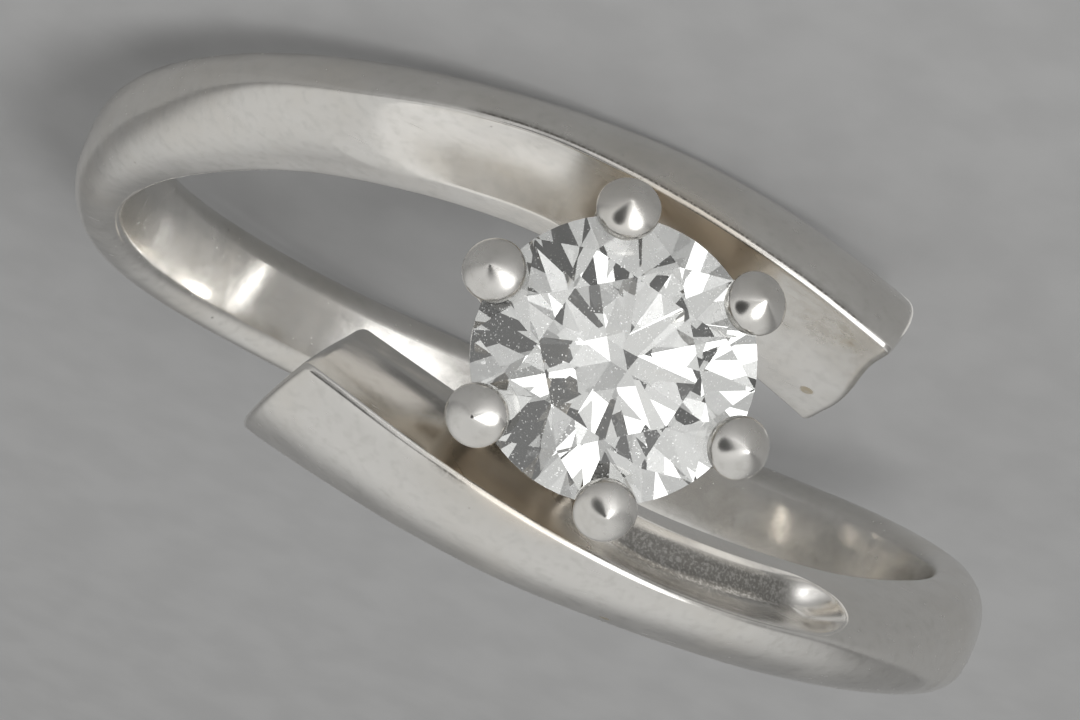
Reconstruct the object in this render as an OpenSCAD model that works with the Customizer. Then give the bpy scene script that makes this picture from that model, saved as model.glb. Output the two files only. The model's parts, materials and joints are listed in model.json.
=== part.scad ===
// Solitaire ring of the bypass kind: a slim round-sided shank whose two ends sweep past each
// other on either side of one brilliant-cut stone, which six ball-tipped claws hold between them.
//
// The ring is drawn in its own frame: the origin is the middle of the finger hole, Y runs along
// the finger and Z points at the stone. A half turn about Z leaves the metal as it is, but for
// the end cuts, which the maker filed by eye.
// At the end it is laid on its side, as a ring rests on a table, with its stone facing -Y.

/* [Finger hole] */
// Diameter of the finger hole
hole_d = 17.2; // [15:0.1:20]

/* [Arms] */
// Distance from the stone's axis at which the ridge of the +Y arm is cut off
arm_reach = 4.8; // [4.4:0.05:5.3]
// Turn of that end cut, seen along the stone's axis
end_skew = 21; // [0:1:30]
// Distance at which the ridge of the -Y arm is cut off
other_reach = 5.05; // [4.4:0.05:5.3]
// Turn of its end cut
other_skew = 28; // [0:1:30]
// Lean of both end cuts under the tips
end_undercut = 4; // [0:1:12]
// Reach of the ridge out from the middle plane at its end
end_ridge_y = 2.25; // [1.8:0.05:2.6]
// Height of the end of the ridge above the finger hole
end_ridge_rise = 2.75; // [2.6:0.05:3]
// Width of the narrow flat along the ridge
ridge_flat = 0.18; // [0.1:0.02:0.3]
// Angle round the hole, from the foot of the shank, at which the scoop in an arm begins
scoop_start = 142.7; // [140:0.1:146]

/* [Stone] */
// Diameter of the stone
stone_d = 5.2; // [4.8:0.1:5.6]
// Height of the girdle above the finger hole
girdle_rise = 3.6; // [3.5:0.05:3.9]
// Width of the table as a share of the diameter
table_share = 0.57; // [0.52:0.01:0.64]
// Angle of the eight kite facets of the crown
crown_angle = 34.5; // [30:0.5:37]
// Angle of the eight main facets of the pavilion
pavilion_angle = 40.8; // [39:0.1:43]
// Thickness of the girdle
girdle_h = 0.14; // [0.1:0.02:0.2]
// Turn of the stone in its claws
stone_turn = 12; // [0:1:45]

/* [Claws] */
// Turns of the three claws on the +Y side from the X axis; the other three are a half turn on
claw_turns = [45.5, 109, 168]; // [30:0.5:180]
// Diameter of the ball at the tip of a claw
ball_d = 1.2; // [1:0.05:1.3]
// Distance of a ball's centre beyond the edge of the stone
ball_out = 0.12; // [0:0.01:0.2]
// Height of a ball's centre above the girdle
ball_rise = 0.45; // [0.3:0.05:0.6]
// Diameter of a claw below its ball
claw_top_d = 0.95; // [0.8:0.05:1.1]
// Diameter of a claw at its foot
claw_foot_d = 0.8; // [0.7:0.05:1]
// Clearance between the stone and the metal
stone_gap = 0.04; // [0.02:0.01:0.08]

/* [Hidden] */
round_fn = 64;
eps = 0.01;
hole_r = hole_d / 2;

// Columns of the table of sections. A fullness below nothing hollows the face.
ANGLE = 0;       // angle round the hole from the foot of the shank
EDGE_Y = 1;      // Y of the inner edge at the bore
SIDE_Y = 2;      // outermost Y
CREST_Y = 3;     // Y of the ridge
CREST_H = 4;     // height of the ridge above the bore
WALL_IN = 5;     // height of the inner wall
LEAN_IN = 6;     // lean of the inner wall
FULL_IN = 7;     // fullness of the inner face where it isn't scooped
FULL_SCOOP = 8;  // fullness of the inner face in the scoop
FULL_OUT = 9;    // fullness of the outer face
WALL_OUT = 10;   // height of the outer wall
LEAN_OUT = 11;   // lean of the outer wall

// Sections of one arm, from the foot of the shank round to just past the tip
SECTIONS = [
    [  0, -0.75, 1.12, 0.00, 1.15, 0.42, -0.37, 0.85, -0.25, 0.85, 0.42, 0.37],
    [ 30, -0.75, 1.12, 0.00, 1.15, 0.42, -0.37, 0.85, -0.25, 0.85, 0.42, 0.37],
    [ 60, -0.60, 1.40, 0.25, 1.15, 0.42, -0.33, 0.85, -0.25, 0.85, 0.42, 0.33],
    [ 90, -0.05, 2.08, 1.00, 1.20, 0.42, -0.18, 0.80, -0.25, 0.80, 0.42, 0.25],
    [115,  0.70, 2.85, 1.90, 1.45, 0.46,  0.00, 0.75, -0.25, 0.75, 0.45, 0.15],
    [135,  1.38, 3.50, 2.55, 2.00, 0.54,  0.12, 0.55, -0.25, 0.70, 0.52, 0.10],
    [147,  1.66, 3.84, 2.85, 2.35, 0.60,  0.17, 0.40, -0.25, 0.64, 0.60, 0.10],
    [158,  1.83, 4.06, 3.20, 2.60, 0.70,  0.24, 0.35, -0.30, 0.60, 0.65, 0.10],
    [168,  1.88, 4.20, 3.35, 2.75, 0.75,  0.27, 0.35, -0.30, 0.60, 0.70, 0.10],
    [180,  1.72, 4.27, 3.22, 2.80, 0.75,  0.26, 0.35, -0.25, 0.60, 0.70, 0.10],
    [192,  1.40, 4.14, 2.84, 3.10, 0.75,  0.25, 0.35, -0.15, 0.60, 0.70, 0.10],
    [202,  1.08, 3.90, 2.34, 3.50, 0.80,  0.25, 0.35, -0.10, 0.60, 0.70, 0.10],
    [212,  0.74, 3.60, 1.80, 3.90, 0.80,  0.25, 0.35, -0.10, 0.60, 0.70, 0.10],
    [220,  0.44, 3.32, 1.32, 4.25, 0.80,  0.25, 0.35, -0.10, 0.60, 0.70, 0.10]
];
LAST = len(SECTIONS) - 1;
END_ANGLE = SECTIONS[LAST][ANGLE];

// Steps in degrees round the hole, close together where the scoop ends
STEP = 4;
FINE_STEP = 1;
FACE_STEPS = 8;

// The scoop ends in a round nose: its end slopes up over this angle, and at the wall of the
// arm it stops this much nearer the tip than at the ridge
scoop_slope = 4;
scoop_nose = 7.5;
nose_power = 6;

// How far the loft reaches into the hole before the hole is bored
bore_stock = 0.3;
band_w = 12;

// Block that takes off an arm's tip: its length, the Y that its inner side keeps from the
// middle plane, its reach beyond the ridge and its depth. It stays clear of the other arm.
tip_block_l = 5;
tip_block_y = 0.25;
tip_block_out = 2.4;
tip_block_depth = 5.3;

// Slope of the table's values at a row, for a smooth curve through them
function slope(i, col) =
    i == 0 || i == LAST ? 0
    : (SECTIONS[i + 1][col] - SECTIONS[i - 1][col])
      / (SECTIONS[i + 1][ANGLE] - SECTIONS[i - 1][ANGLE]);

function row_before(angle, i = 0) =
    i >= LAST - 1 || SECTIONS[i + 1][ANGLE] > angle ? i : row_before(angle, i + 1);

function hermite(t, a, b, m, n) =
    (2 * t^3 - 3 * t^2 + 1) * a + (t^3 - 2 * t^2 + t) * m
    + (3 * t^2 - 2 * t^3) * b + (t^3 - t^2) * n;

// One value of the table at any angle
function at(angle, col) =
    let (i = row_before(angle),
         span = SECTIONS[i + 1][ANGLE] - SECTIONS[i][ANGLE],
         t = (angle - SECTIONS[i][ANGLE]) / span)
    hermite(t, SECTIONS[i][col], SECTIONS[i + 1][col],
            slope(i, col) * span, slope(i + 1, col) * span);

function smooth(t) =
    let (u = min(max(t, 0), 1))
    u^2 * (3 - 2 * u);

// Fullness of the inner face, at a share of the way from its wall to the ridge
function fullness_in(angle, share) =
    let (edge = scoop_start + scoop_nose * (1 - share)^nose_power,
         depth = smooth((angle - edge) / scoop_slope))
    at(angle, FULL_IN) * (1 - depth) + at(angle, FULL_SCOOP) * depth;

// Points of a face of the section from p to q, each drawn towards a corner by its fullness
function face(p, q, corner, fullness) =
    let (mid = (p + q) / 2)
    [for (k = [0 : FACE_STEPS])
        let (t = k / FACE_STEPS,
             pull = mid + (corner - mid) * fullness(t))
        (1 - t)^2 * p + 2 * t * (1 - t) * pull + t^2 * q];

// Section of the arm at an angle, as [distance along the finger, distance from the hole's axis]
function section(angle) =
    let (edge_in = [at(angle, EDGE_Y), hole_r],
         wall_in = edge_in + [at(angle, LEAN_IN), at(angle, WALL_IN)],
         crest = [at(angle, CREST_Y), hole_r + at(angle, CREST_H)],
         crest_in = crest - [ridge_flat / 2, 0],
         crest_out = crest + [ridge_flat / 2, 0],
         wall_out = [at(angle, SIDE_Y), hole_r + at(angle, WALL_OUT)],
         edge_out = wall_out - [at(angle, LEAN_OUT), at(angle, WALL_OUT)],
         inner = face(wall_in, crest_in, [wall_in.x, crest.y],
                      function (t) fullness_in(angle, t)),
         outer = face(crest_out, wall_out, [wall_out.x, crest.y],
                      function (t) at(angle, FULL_OUT)),
         stock_in = edge_in - (wall_in - edge_in) * bore_stock / at(angle, WALL_IN),
         stock_out = edge_out - (wall_out - edge_out) * bore_stock / at(angle, WALL_OUT))
    [stock_in, each inner, each outer, stock_out];

function place(angle, p) = [-p.y * sin(angle), p.x, -p.y * cos(angle)];

function half_turn(p) = [-p.x, -p.y, p.z];

function reversed(list) = [for (i = [len(list) - 1 : -1 : 0]) list[i]];

function ring_of_points(angle) =
    angle >= 0 ? [for (p = section(angle)) place(angle, p)]
    : reversed([for (p = section(-angle)) half_turn(place(-angle, p))]);

ARM_STATIONS = [
    for (a = [0 : STEP : scoop_start - scoop_slope]) a,
    for (a = [scoop_start - FINE_STEP : FINE_STEP : scoop_start + scoop_nose + scoop_slope]) a,
    for (a = [scoop_start + scoop_nose + 2 * scoop_slope : STEP : END_ANGLE]) a];
STATIONS = [for (a = reversed(ARM_STATIONS)) -a, for (a = ARM_STATIONS) if (a > 0) a];
LOFT = [for (a = STATIONS) ring_of_points(a)];
LOFT_POINTS = [for (ring = LOFT) each ring];
RING_SIZE = len(LOFT[0]);

// Two triangles for each pair of neighbouring points on neighbouring sections
function wall_faces() =
    [for (s = [0 : len(LOFT) - 2], i = [0 : RING_SIZE - 1])
        let (j = (i + 1) % RING_SIZE,
             a = s * RING_SIZE,
             b = a + RING_SIZE)
        each [[a + i, a + j, b + j], [a + i, b + j, b + i]]];

function cap_face(start) = [for (i = [0 : RING_SIZE - 1]) start + i];

// The shank and both arms, before the hole is bored and the tips are cut
module sweep() {
    polyhedron(LOFT_POINTS,
               [each wall_faces(),
                reversed(cap_face(0)),
                cap_face((len(LOFT) - 1) * RING_SIZE)],
               convexity = 6);
}

// What lies past the slanting end of the arm on the +Y side
module tip_waste(reach, skew) {
    inwards = (end_ridge_y - tip_block_y) * cos(skew);
    translate([reach, end_ridge_y, hole_r + end_ridge_rise])
        rotate([0, 0, -skew])
            rotate([0, end_undercut, 0])
                translate([0, -inwards, -tip_block_depth])
                    cube([tip_block_l, inwards + tip_block_out, tip_block_depth + ball_d]);
}

module band() {
    difference() {
        sweep();
        rotate([90, 0, 0]) cylinder(h = band_w, r = hole_r, center = true, $fn = 2 * round_fn);
        tip_waste(arm_reach, end_skew);
        rotate([0, 0, 180]) tip_waste(other_reach, other_skew);
    }
}

// Heights and radii of the brilliant cut, worked out from its angles. The stars reach halfway
// from the table to the girdle, and the lower halves reach nearly down to the culet.
MAINS = 8;
HALVES = 2 * MAINS;
PER_HALF = 4;
GIRDLE_SIDES = HALVES * PER_HALF;
main_turn = 360 / MAINS;
half_turn_angle = 360 / HALVES;
lower_share = 0.23;
stone_r = stone_d / 2;
girdle_z = hole_r + girdle_rise;
girdle_top = girdle_z + girdle_h / 2;
girdle_foot = girdle_z - girdle_h / 2;
table_r = table_share * stone_r;
table_z = girdle_top + (stone_r - table_r) * tan(crown_angle);
star_r = (table_r * cos(half_turn_angle) + stone_r) / 2;
star_z = girdle_top + (stone_r - star_r * cos(half_turn_angle)) * tan(crown_angle);
lower_r = lower_share * stone_r;
lower_z = girdle_foot - (stone_r - lower_r * cos(half_turn_angle)) * tan(pavilion_angle);
culet_z = girdle_foot - stone_r * tan(pavilion_angle);

// The claws stand on a collet between the arms and pass through a gallery rail
collet_lift = 0.15;
collet_h = 0.75;
collet_r = 2.12;
collet_hole_r = 1.25;
collet_z = hole_r + collet_lift;
foot_r = 1.72;
rail_r = 2.05;
rail_wire_d = 0.6;
rail_drop = 1.7;
ball_r = stone_r + ball_out;
ball_z = girdle_z + ball_rise;

module claw() {
    foot_z = collet_z + collet_h / 2;
    rise = ball_z - foot_z;
    run = ball_r - foot_r;
    translate([foot_r, 0, foot_z])
        rotate([0, atan2(run, rise), 0])
            cylinder(h = norm([run, rise]), d1 = claw_foot_d, d2 = claw_top_d, $fn = round_fn);
    translate([ball_r, 0, ball_z]) sphere(d = ball_d, $fn = round_fn);
}

module collet() {
    translate([0, 0, collet_z]) difference() {
        cylinder(h = collet_h, r = collet_r, $fn = round_fn);
        translate([0, 0, -eps]) cylinder(h = collet_h + 2 * eps, r = collet_hole_r, $fn = round_fn);
    }
}

module gallery_rail() {
    translate([0, 0, girdle_z - rail_drop])
        rotate_extrude($fn = round_fn)
            translate([rail_r, 0]) circle(d = rail_wire_d, $fn = round_fn);
}

// The round room that the stone needs, with its clearance square to the slanting facets
module stone_room() {
    room_z = stone_gap / cos(pavilion_angle);
    rotate_extrude($fn = round_fn)
        polygon([[0, culet_z - room_z], [lower_r + stone_gap, lower_z - room_z],
                 [stone_r + stone_gap, girdle_foot - room_z],
                 [stone_r + stone_gap, girdle_top + room_z],
                 [star_r + stone_gap, star_z + room_z], [table_r, table_z + room_z],
                 [table_r, table_z + ball_d], [0, table_z + ball_d]]);
}

module setting() {
    difference() {
        union() {
            for (turn = claw_turns, side = [0, 180]) rotate([0, 0, turn + side]) claw();
            gallery_rail();
            collet();
        }
        stone_room();
    }
}

function around(r, turn, z) = [r * cos(turn), r * sin(turn), z];

// Height at [x, y] of the plane through a, b and c
function plane_z(a, b, c, x, y) =
    let (n = cross(b - a, c - a))
    a.z - (n.x * (x - a.x) + n.y * (y - a.y)) / n.z;

// Height of the girdle's edge at a turn, on the half facet that meets it there. The facet has
// a corner at [inner_r, inner_z] and two at the girdle, on the line of a kite and of a star.
function girdle_edge_z(turn, edge_z, inner_r, inner_z) =
    let (half = floor(turn / half_turn_angle),
         kite = half_turn_angle * (half % 2 == 0 ? half : half + 1),
         star = half_turn_angle * (half % 2 == 0 ? half + 1 : half))
    plane_z(around(inner_r, star, inner_z), around(stone_r, kite, edge_z),
            around(stone_r, star, edge_z), stone_r * cos(turn), stone_r * sin(turn));

GIRDLE_TURNS = [for (g = [0 : GIRDLE_SIDES - 1]) g * 360 / GIRDLE_SIDES];
STONE_POINTS = [
    for (k = [0 : MAINS - 1]) around(table_r, k * main_turn, table_z),
    for (k = [0 : MAINS - 1]) around(star_r, (k + 0.5) * main_turn, star_z),
    for (t = GIRDLE_TURNS) around(stone_r, t, girdle_edge_z(t, girdle_top, star_r, star_z)),
    for (t = GIRDLE_TURNS) around(stone_r, t, girdle_edge_z(t, girdle_foot, lower_r, lower_z)),
    for (k = [0 : MAINS - 1]) around(lower_r, (k + 0.5) * main_turn, lower_z),
    [0, 0, culet_z]];

// Where each kind of corner begins in that list
STAR = MAINS;
GIRDLE_UP = STAR + MAINS;
GIRDLE_LOW = GIRDLE_UP + GIRDLE_SIDES;
LOWER = GIRDLE_LOW + GIRDLE_SIDES;
CULET = LOWER + MAINS;

function up(g) = GIRDLE_UP + g % GIRDLE_SIDES;
function low(g) = GIRDLE_LOW + g % GIRDLE_SIDES;
function before(k) = (k + MAINS - 1) % MAINS;
function after(k) = (k + 1) % MAINS;

TABLE_FACE = [for (k = [MAINS - 1 : -1 : 0]) k];
STAR_FACES = [for (k = [0 : MAINS - 1]) [k, after(k), STAR + k]];
KITE_FACES = [for (k = [0 : MAINS - 1]) [k, STAR + k, up(2 * k * PER_HALF), STAR + before(k)]];
UPPER_HALVES = [for (k = [0 : MAINS - 1], side = [0, 1])
    [STAR + k, for (g = [PER_HALF : -1 : 0]) up((2 * k + side) * PER_HALF + g)]];
GIRDLE_FACES = [for (g = [0 : GIRDLE_SIDES - 1]) [up(g), up(g + 1), low(g + 1), low(g)]];
LOWER_HALVES = [for (k = [0 : MAINS - 1], side = [0, 1])
    [LOWER + k, for (g = [0 : PER_HALF]) low((2 * k + side) * PER_HALF + g)]];
PAVILION_MAINS = [for (k = [0 : MAINS - 1])
    [CULET, LOWER + before(k), low(2 * k * PER_HALF), LOWER + k]];

module brilliant() {
    rotate([0, 0, stone_turn])
        polyhedron(STONE_POINTS,
                   [TABLE_FACE, each STAR_FACES, each KITE_FACES, each UPPER_HALVES,
                    each GIRDLE_FACES, each LOWER_HALVES, each PAVILION_MAINS]);
}

// The ring lies on its +Y side and touches the table at an arm and at the foot of the shank.
// Its tilt is found by turns: the lowest point of each end, and the angle between the two.
function drop(p, tilt) = p.y * cos(tilt) - p.z * sin(tilt);

function lowest(points, tilt) =
    let (drops = [for (p = points) drop(p, tilt)])
    points[search(max(drops), drops)[0]];

function settle(tilt, turns) =
    turns == 0 ? tilt
    : let (head = lowest([for (p = LOFT_POINTS) if (p.z > 0) p], tilt),
           foot = lowest([for (p = LOFT_POINTS) if (p.z < 0) p], tilt))
      settle(atan2(head.y - foot.y, head.z - foot.z), turns - 1);

lie_tilt = settle(tilt = 0, turns = 6);
lie_lift = max([for (p = LOFT_POINTS) drop(p, lie_tilt)]);

function depth(p) = -p.z * cos(lie_tilt) - p.y * sin(lie_tilt);

lie_back = max([for (p = LOFT_POINTS) depth(p)]);
lie_front = min([for (turn = claw_turns, side = [0, 180])
    depth(around(ball_r, turn + side, ball_z)) - ball_d / 2]);

module lying() {
    translate([0, -(lie_front + lie_back) / 2, lie_lift])
        rotate([-lie_tilt, 0, 0]) rotate([0, 0, 180]) rotate([-90, 0, 0])
            children();
}

module ring_metal() {
    color("gainsboro") lying() union() {
        band();
        setting();
    }
}

module diamond() {
    color("azure") lying() brilliant();
}

ring_metal();
diamond();
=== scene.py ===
import bmesh
import bpy
import json
import math
from mathutils import Matrix, Vector


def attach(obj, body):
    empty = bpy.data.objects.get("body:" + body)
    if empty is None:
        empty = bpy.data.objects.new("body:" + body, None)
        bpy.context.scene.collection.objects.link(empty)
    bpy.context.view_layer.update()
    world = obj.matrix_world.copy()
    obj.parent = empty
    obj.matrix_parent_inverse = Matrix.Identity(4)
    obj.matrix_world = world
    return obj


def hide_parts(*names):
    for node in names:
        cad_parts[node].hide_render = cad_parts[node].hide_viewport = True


# Solitaire ring of white gold with one brilliant-cut stone, lying on its side on a pale floor.
print("ring: loading the frame")
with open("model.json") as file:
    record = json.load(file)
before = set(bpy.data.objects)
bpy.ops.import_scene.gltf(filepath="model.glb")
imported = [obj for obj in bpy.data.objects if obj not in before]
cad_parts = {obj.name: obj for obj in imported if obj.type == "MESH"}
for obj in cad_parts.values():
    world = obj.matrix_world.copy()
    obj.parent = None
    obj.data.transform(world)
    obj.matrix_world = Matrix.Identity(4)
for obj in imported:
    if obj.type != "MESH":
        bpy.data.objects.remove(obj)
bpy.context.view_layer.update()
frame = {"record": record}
mm = 0.001

# The ring is drawn standing, in millimetres: the middle of the finger hole at zero, Y along the finger,
# Z towards the stone. Its finger hole in the frame says how it lies.
hole = frame["record"]["mounts"][0]
holeRadius = hole["dims"]["r_mm"]
alongFinger = -Vector(hole["axis"]).normalized()
acrossRing = Vector((-1, 0, 0))
towardsStone = acrossRing.cross(alongFinger)
layDown = Matrix((acrossRing, alongFinger, towardsStone)).transposed().to_4x4()
layDown.translation = Vector(hole["pos_m"])
layDown = layDown @ Matrix.Scale(mm, 4)


def turnZ(degrees):
    return Matrix.Rotation(math.radians(degrees), 4, "Z")


def shift(x, y, z):
    return Matrix.Translation((x, y, z))


def mix(a, b, share):
    return a + (b - a) * share


def ease(t):
    t = min(max(t, 0), 1)
    return t * t * (3 - 2 * t)


def plainObject(name, bm):
    # puts a finished bmesh into the scene as it is
    mesh = bpy.data.meshes.new(name)
    bm.to_mesh(mesh)
    bm.free()
    obj = bpy.data.objects.new(name, mesh)
    bpy.context.scene.collection.objects.link(obj)
    return obj


def addObject(name, bm, smooth=True):
    # puts a finished part of the ring into the scene, lying where the frame has it
    bmesh.ops.transform(bm, matrix=layDown, verts=bm.verts)
    for face in bm.faces:
        face.smooth = smooth
    return plainObject(name, bm)


def bakeModifiers(obj):
    # the mesh as its modifiers leave it becomes the object's own
    bpy.context.view_layer.update()
    graph = bpy.context.evaluated_depsgraph_get()
    mesh = bpy.data.meshes.new_from_object(obj.evaluated_get(graph))
    obj.modifiers.clear()
    obj.data = mesh


# Shank and arms: one arm's sections, by the angle round the hole from the foot of the shank
band = {
    "columns": ("edgeY", "sideY", "crestY", "crestH", "wallIn", "leanIn",
                "fullIn", "fullScoop", "fullOut", "wallOut", "leanOut"),
    "sections": {
        0: (-0.75, 1.12, 0.00, 1.15, 0.42, -0.37, 0.85, -0.25, 0.85, 0.42, 0.37),
        30: (-0.75, 1.12, 0.00, 1.15, 0.42, -0.37, 0.85, -0.25, 0.85, 0.42, 0.37),
        60: (-0.60, 1.40, 0.25, 1.15, 0.42, -0.33, 0.85, -0.25, 0.85, 0.42, 0.33),
        90: (-0.05, 2.08, 1.00, 1.20, 0.42, -0.18, 0.80, -0.25, 0.80, 0.42, 0.25),
        115: (0.70, 2.85, 1.90, 1.45, 0.46, 0.00, 0.75, -0.25, 0.75, 0.45, 0.15),
        135: (1.38, 3.50, 2.55, 2.00, 0.54, 0.12, 0.55, -0.25, 0.70, 0.52, 0.10),
        147: (1.66, 3.84, 2.85, 2.35, 0.60, 0.17, 0.40, -0.25, 0.64, 0.60, 0.10),
        158: (1.83, 4.06, 3.20, 2.60, 0.70, 0.24, 0.35, -0.30, 0.60, 0.65, 0.10),
        168: (1.88, 4.20, 3.35, 2.75, 0.75, 0.27, 0.35, -0.30, 0.60, 0.70, 0.10),
        180: (1.72, 4.27, 3.22, 2.80, 0.75, 0.26, 0.35, -0.25, 0.60, 0.70, 0.10),
        192: (1.40, 4.14, 2.84, 3.10, 0.75, 0.25, 0.35, -0.15, 0.60, 0.70, 0.10),
        202: (1.08, 3.90, 2.34, 3.50, 0.80, 0.25, 0.35, -0.10, 0.60, 0.70, 0.10),
        212: (0.74, 3.60, 1.80, 3.90, 0.80, 0.25, 0.35, -0.10, 0.60, 0.70, 0.10),
        220: (0.44, 3.32, 1.32, 4.25, 0.80, 0.25, 0.35, -0.10, 0.60, 0.70, 0.10),
    },
    # the sides of a section in their order, with the steps of each; the flat is the narrow land on the ridge
    "sides": {"innerWall": 3, "innerFace": 22, "flat": 2, "outerFace": 22, "outerWall": 3, "bore": 5},
    "cornerSteps": 5,
    "degreeStep": 1.0,
    "noseStep": 0.25,           # finer stations round the scoop's nose
    "noseFrom": (139.5, 148),
    "flatWidth": {105: 0.50, 150: 0.10, 195: 0.11},     # on the shank, where the arm starts, at the tip
    # how far each long edge is rounded, on the shank and on the arms
    "softFrom": (105, 152),
    "boreRound": (0.16, 0.07),
    "rimRound": (0.36, 0.06),
    "sideRound": (0.36, 0.22),
    "ridgeRound": (0.22, 0.03),
    "wallLeft": 0.03,           # what the rounding leaves of a side wall at least
    # the scoop: it has a blunt nose, and a groove along its middle that fades out beside the stone
    "scoopStart": 142.5,
    "scoopNose": 5,             # how much nearer the tip it starts at its two edges than in its middle
    "nosePower": 2.2,
    "noseReach": (132, 142.5, 161),     # stations between these angles bend with the nose
    "grooveFades": (166, 186),
    "grooveLip": 0.10,          # share of the face that stays flat beside the rim
    "grooveWall": 0.24,
    "grooveFloor": 0.42,
    "tipFrom": {184: 0, 196: 1},    # where the scoop gives way to the nearly flat face of the tip
    # the end cut: from the first angle on the sections turn into it, and by the second all are past it
    "endFrom": (176, 219),
    "endHalvings": 16,          # how often the way to the end cut is halved to find it
    "endRidgeY": 2.25,
    "endRimY": 0.95,
    "endRidgeRise": 2.75,
    "endUndercut": 4,
    "swingFrom": (0.15, 0.85),  # where a wavy end cut bends forward, from the ridge to the rim
    "swingBack": 0.17,          # how much of the bend goes backward at the ridge
    "endRound": 0.18,
    "endShrink": 0.13,
    "endSteps": 6,
    "capRings": (0.8, 0.6, 0.4, 0.2),
    "seam": 0.001,              # points nearer than this are one where the two arms meet
    # the near arm's and the far arm's own values. Creases are dark lines along the ridge, painted shade with
    # dirt in them, each before the side that it is named by, and the second list holds dark bands of painted
    # shade on the inner face. Each is given by the angles between which it runs and its strength, a dark band
    # also by where across the face it fades in and out
    "arms": (
        {"reach": 4.80, "skew": 21, "swing": 2.3, "scoopSlope": 22, "grooveDepth": 0, "tipFull": -0.08,
         "creases": {"flat": (179, 191, 0.7), "outerFace": (158, 201, 1.0)},
         "shadedBands": ()},
        {"reach": 5.05, "skew": 28, "swing": 0, "scoopSlope": 3.5, "grooveDepth": 0.30, "tipFull": 0.30,
         "creases": {"flat": (150, 190, 0.4), "outerFace": (186, 192.5, 0.9)},
         "shadedBands": (((145.5, 172, 0.72), (0.05, 0.12, 0.34, 0.48)),
                   ((183, 202, 0.6), (0.06, 0.14, 0.26, 0.40)))},
    ),
    "creaseEnds": 3,            # degrees in which a crease or a dark band of painted shade starts and ends
    "creaseBeside": 0.4,        # strength of a crease on the face right beside it
}


def atAngle(angle, column):
    # one value of the table at any angle, on a smooth curve through its rows
    rows = sorted(band["sections"])
    k = band["columns"].index(column)
    value = [band["sections"][a][k] for a in rows]
    i = max(j for j in range(len(rows) - 1) if j == 0 or rows[j] <= angle)

    def slope(j):
        if j in (0, len(rows) - 1):
            return 0
        return (value[j + 1] - value[j - 1]) / (rows[j + 1] - rows[j - 1])

    span = rows[i + 1] - rows[i]
    t = (angle - rows[i]) / span
    blend = (2 * t**3 - 3 * t**2 + 1) * value[i] + (3 * t**2 - 2 * t**3) * value[i + 1]
    return blend + ((t**3 - 2 * t**2 + t) * slope(i) + (t**3 - t**2) * slope(i + 1)) * span


def between(angle, stops):
    # a value that changes smoothly from stop to stop, given as {angle: value}
    keys = sorted(stops)
    made = stops[keys[0]]
    for a, b in zip(keys, keys[1:]):
        if angle > a:
            made = mix(stops[a], stops[b], ease((angle - a) / (b - a)))
    return made


def facePoint(start, finish, corner, fullness, t):
    # a point of a curved face, which its fullness draws towards its corner
    middle = (start + finish) / 2
    pull = middle + (corner - middle) * fullness
    return (1 - t) ** 2 * start + 2 * t * (1 - t) * pull + t**2 * finish


def noseLag(t):
    # how many degrees after its middle the scoop starts at this share of the face
    return band["scoopNose"] * abs(2 * t - 1) ** band["nosePower"]


def innerPoint(wall, ridge, value, angle, arm, t):
    # the face towards the stone, which the scoop hollows out
    run = (angle - band["scoopStart"] - noseLag(t)) / arm["scoopSlope"]
    run = min(max(run, 0), 1)
    hollow = run * (2 - run)
    scooped = mix(value["fullScoop"], arm["tipFull"], between(angle, band["tipFrom"]))
    point = facePoint(wall, ridge, Vector((wall.x, ridge.y)), mix(value["fullIn"], scooped, hollow), t)
    chord = ridge - wall
    intoMetal = Vector((chord.y, -chord.x)).normalized()
    first, last = band["grooveFades"]
    depth = arm["grooveDepth"] * hollow * (1 - ease((angle - first) / (last - first)))
    dip = ease((t - band["grooveLip"]) / band["grooveWall"])
    rise = 1 - ease((t - band["grooveFloor"]) / (1 - band["grooveFloor"]))
    return point + intoMetal * depth * dip * rise


def cutBack(points, fromStart, fromEnd, steps):
    # a line shortened at both ends, in even steps
    lengths = [0]
    for a, b in zip(points, points[1:]):
        lengths.append(lengths[-1] + (b - a).length)
    made = []
    k = 0
    for step in range(steps + 1):
        goal = mix(fromStart, lengths[-1] - fromEnd, step / steps)
        while k < len(points) - 2 and lengths[k + 1] < goal:
            k += 1
        made.append(points[k].lerp(points[k + 1], (goal - lengths[k]) / (lengths[k + 1] - lengths[k])))
    return made


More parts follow.
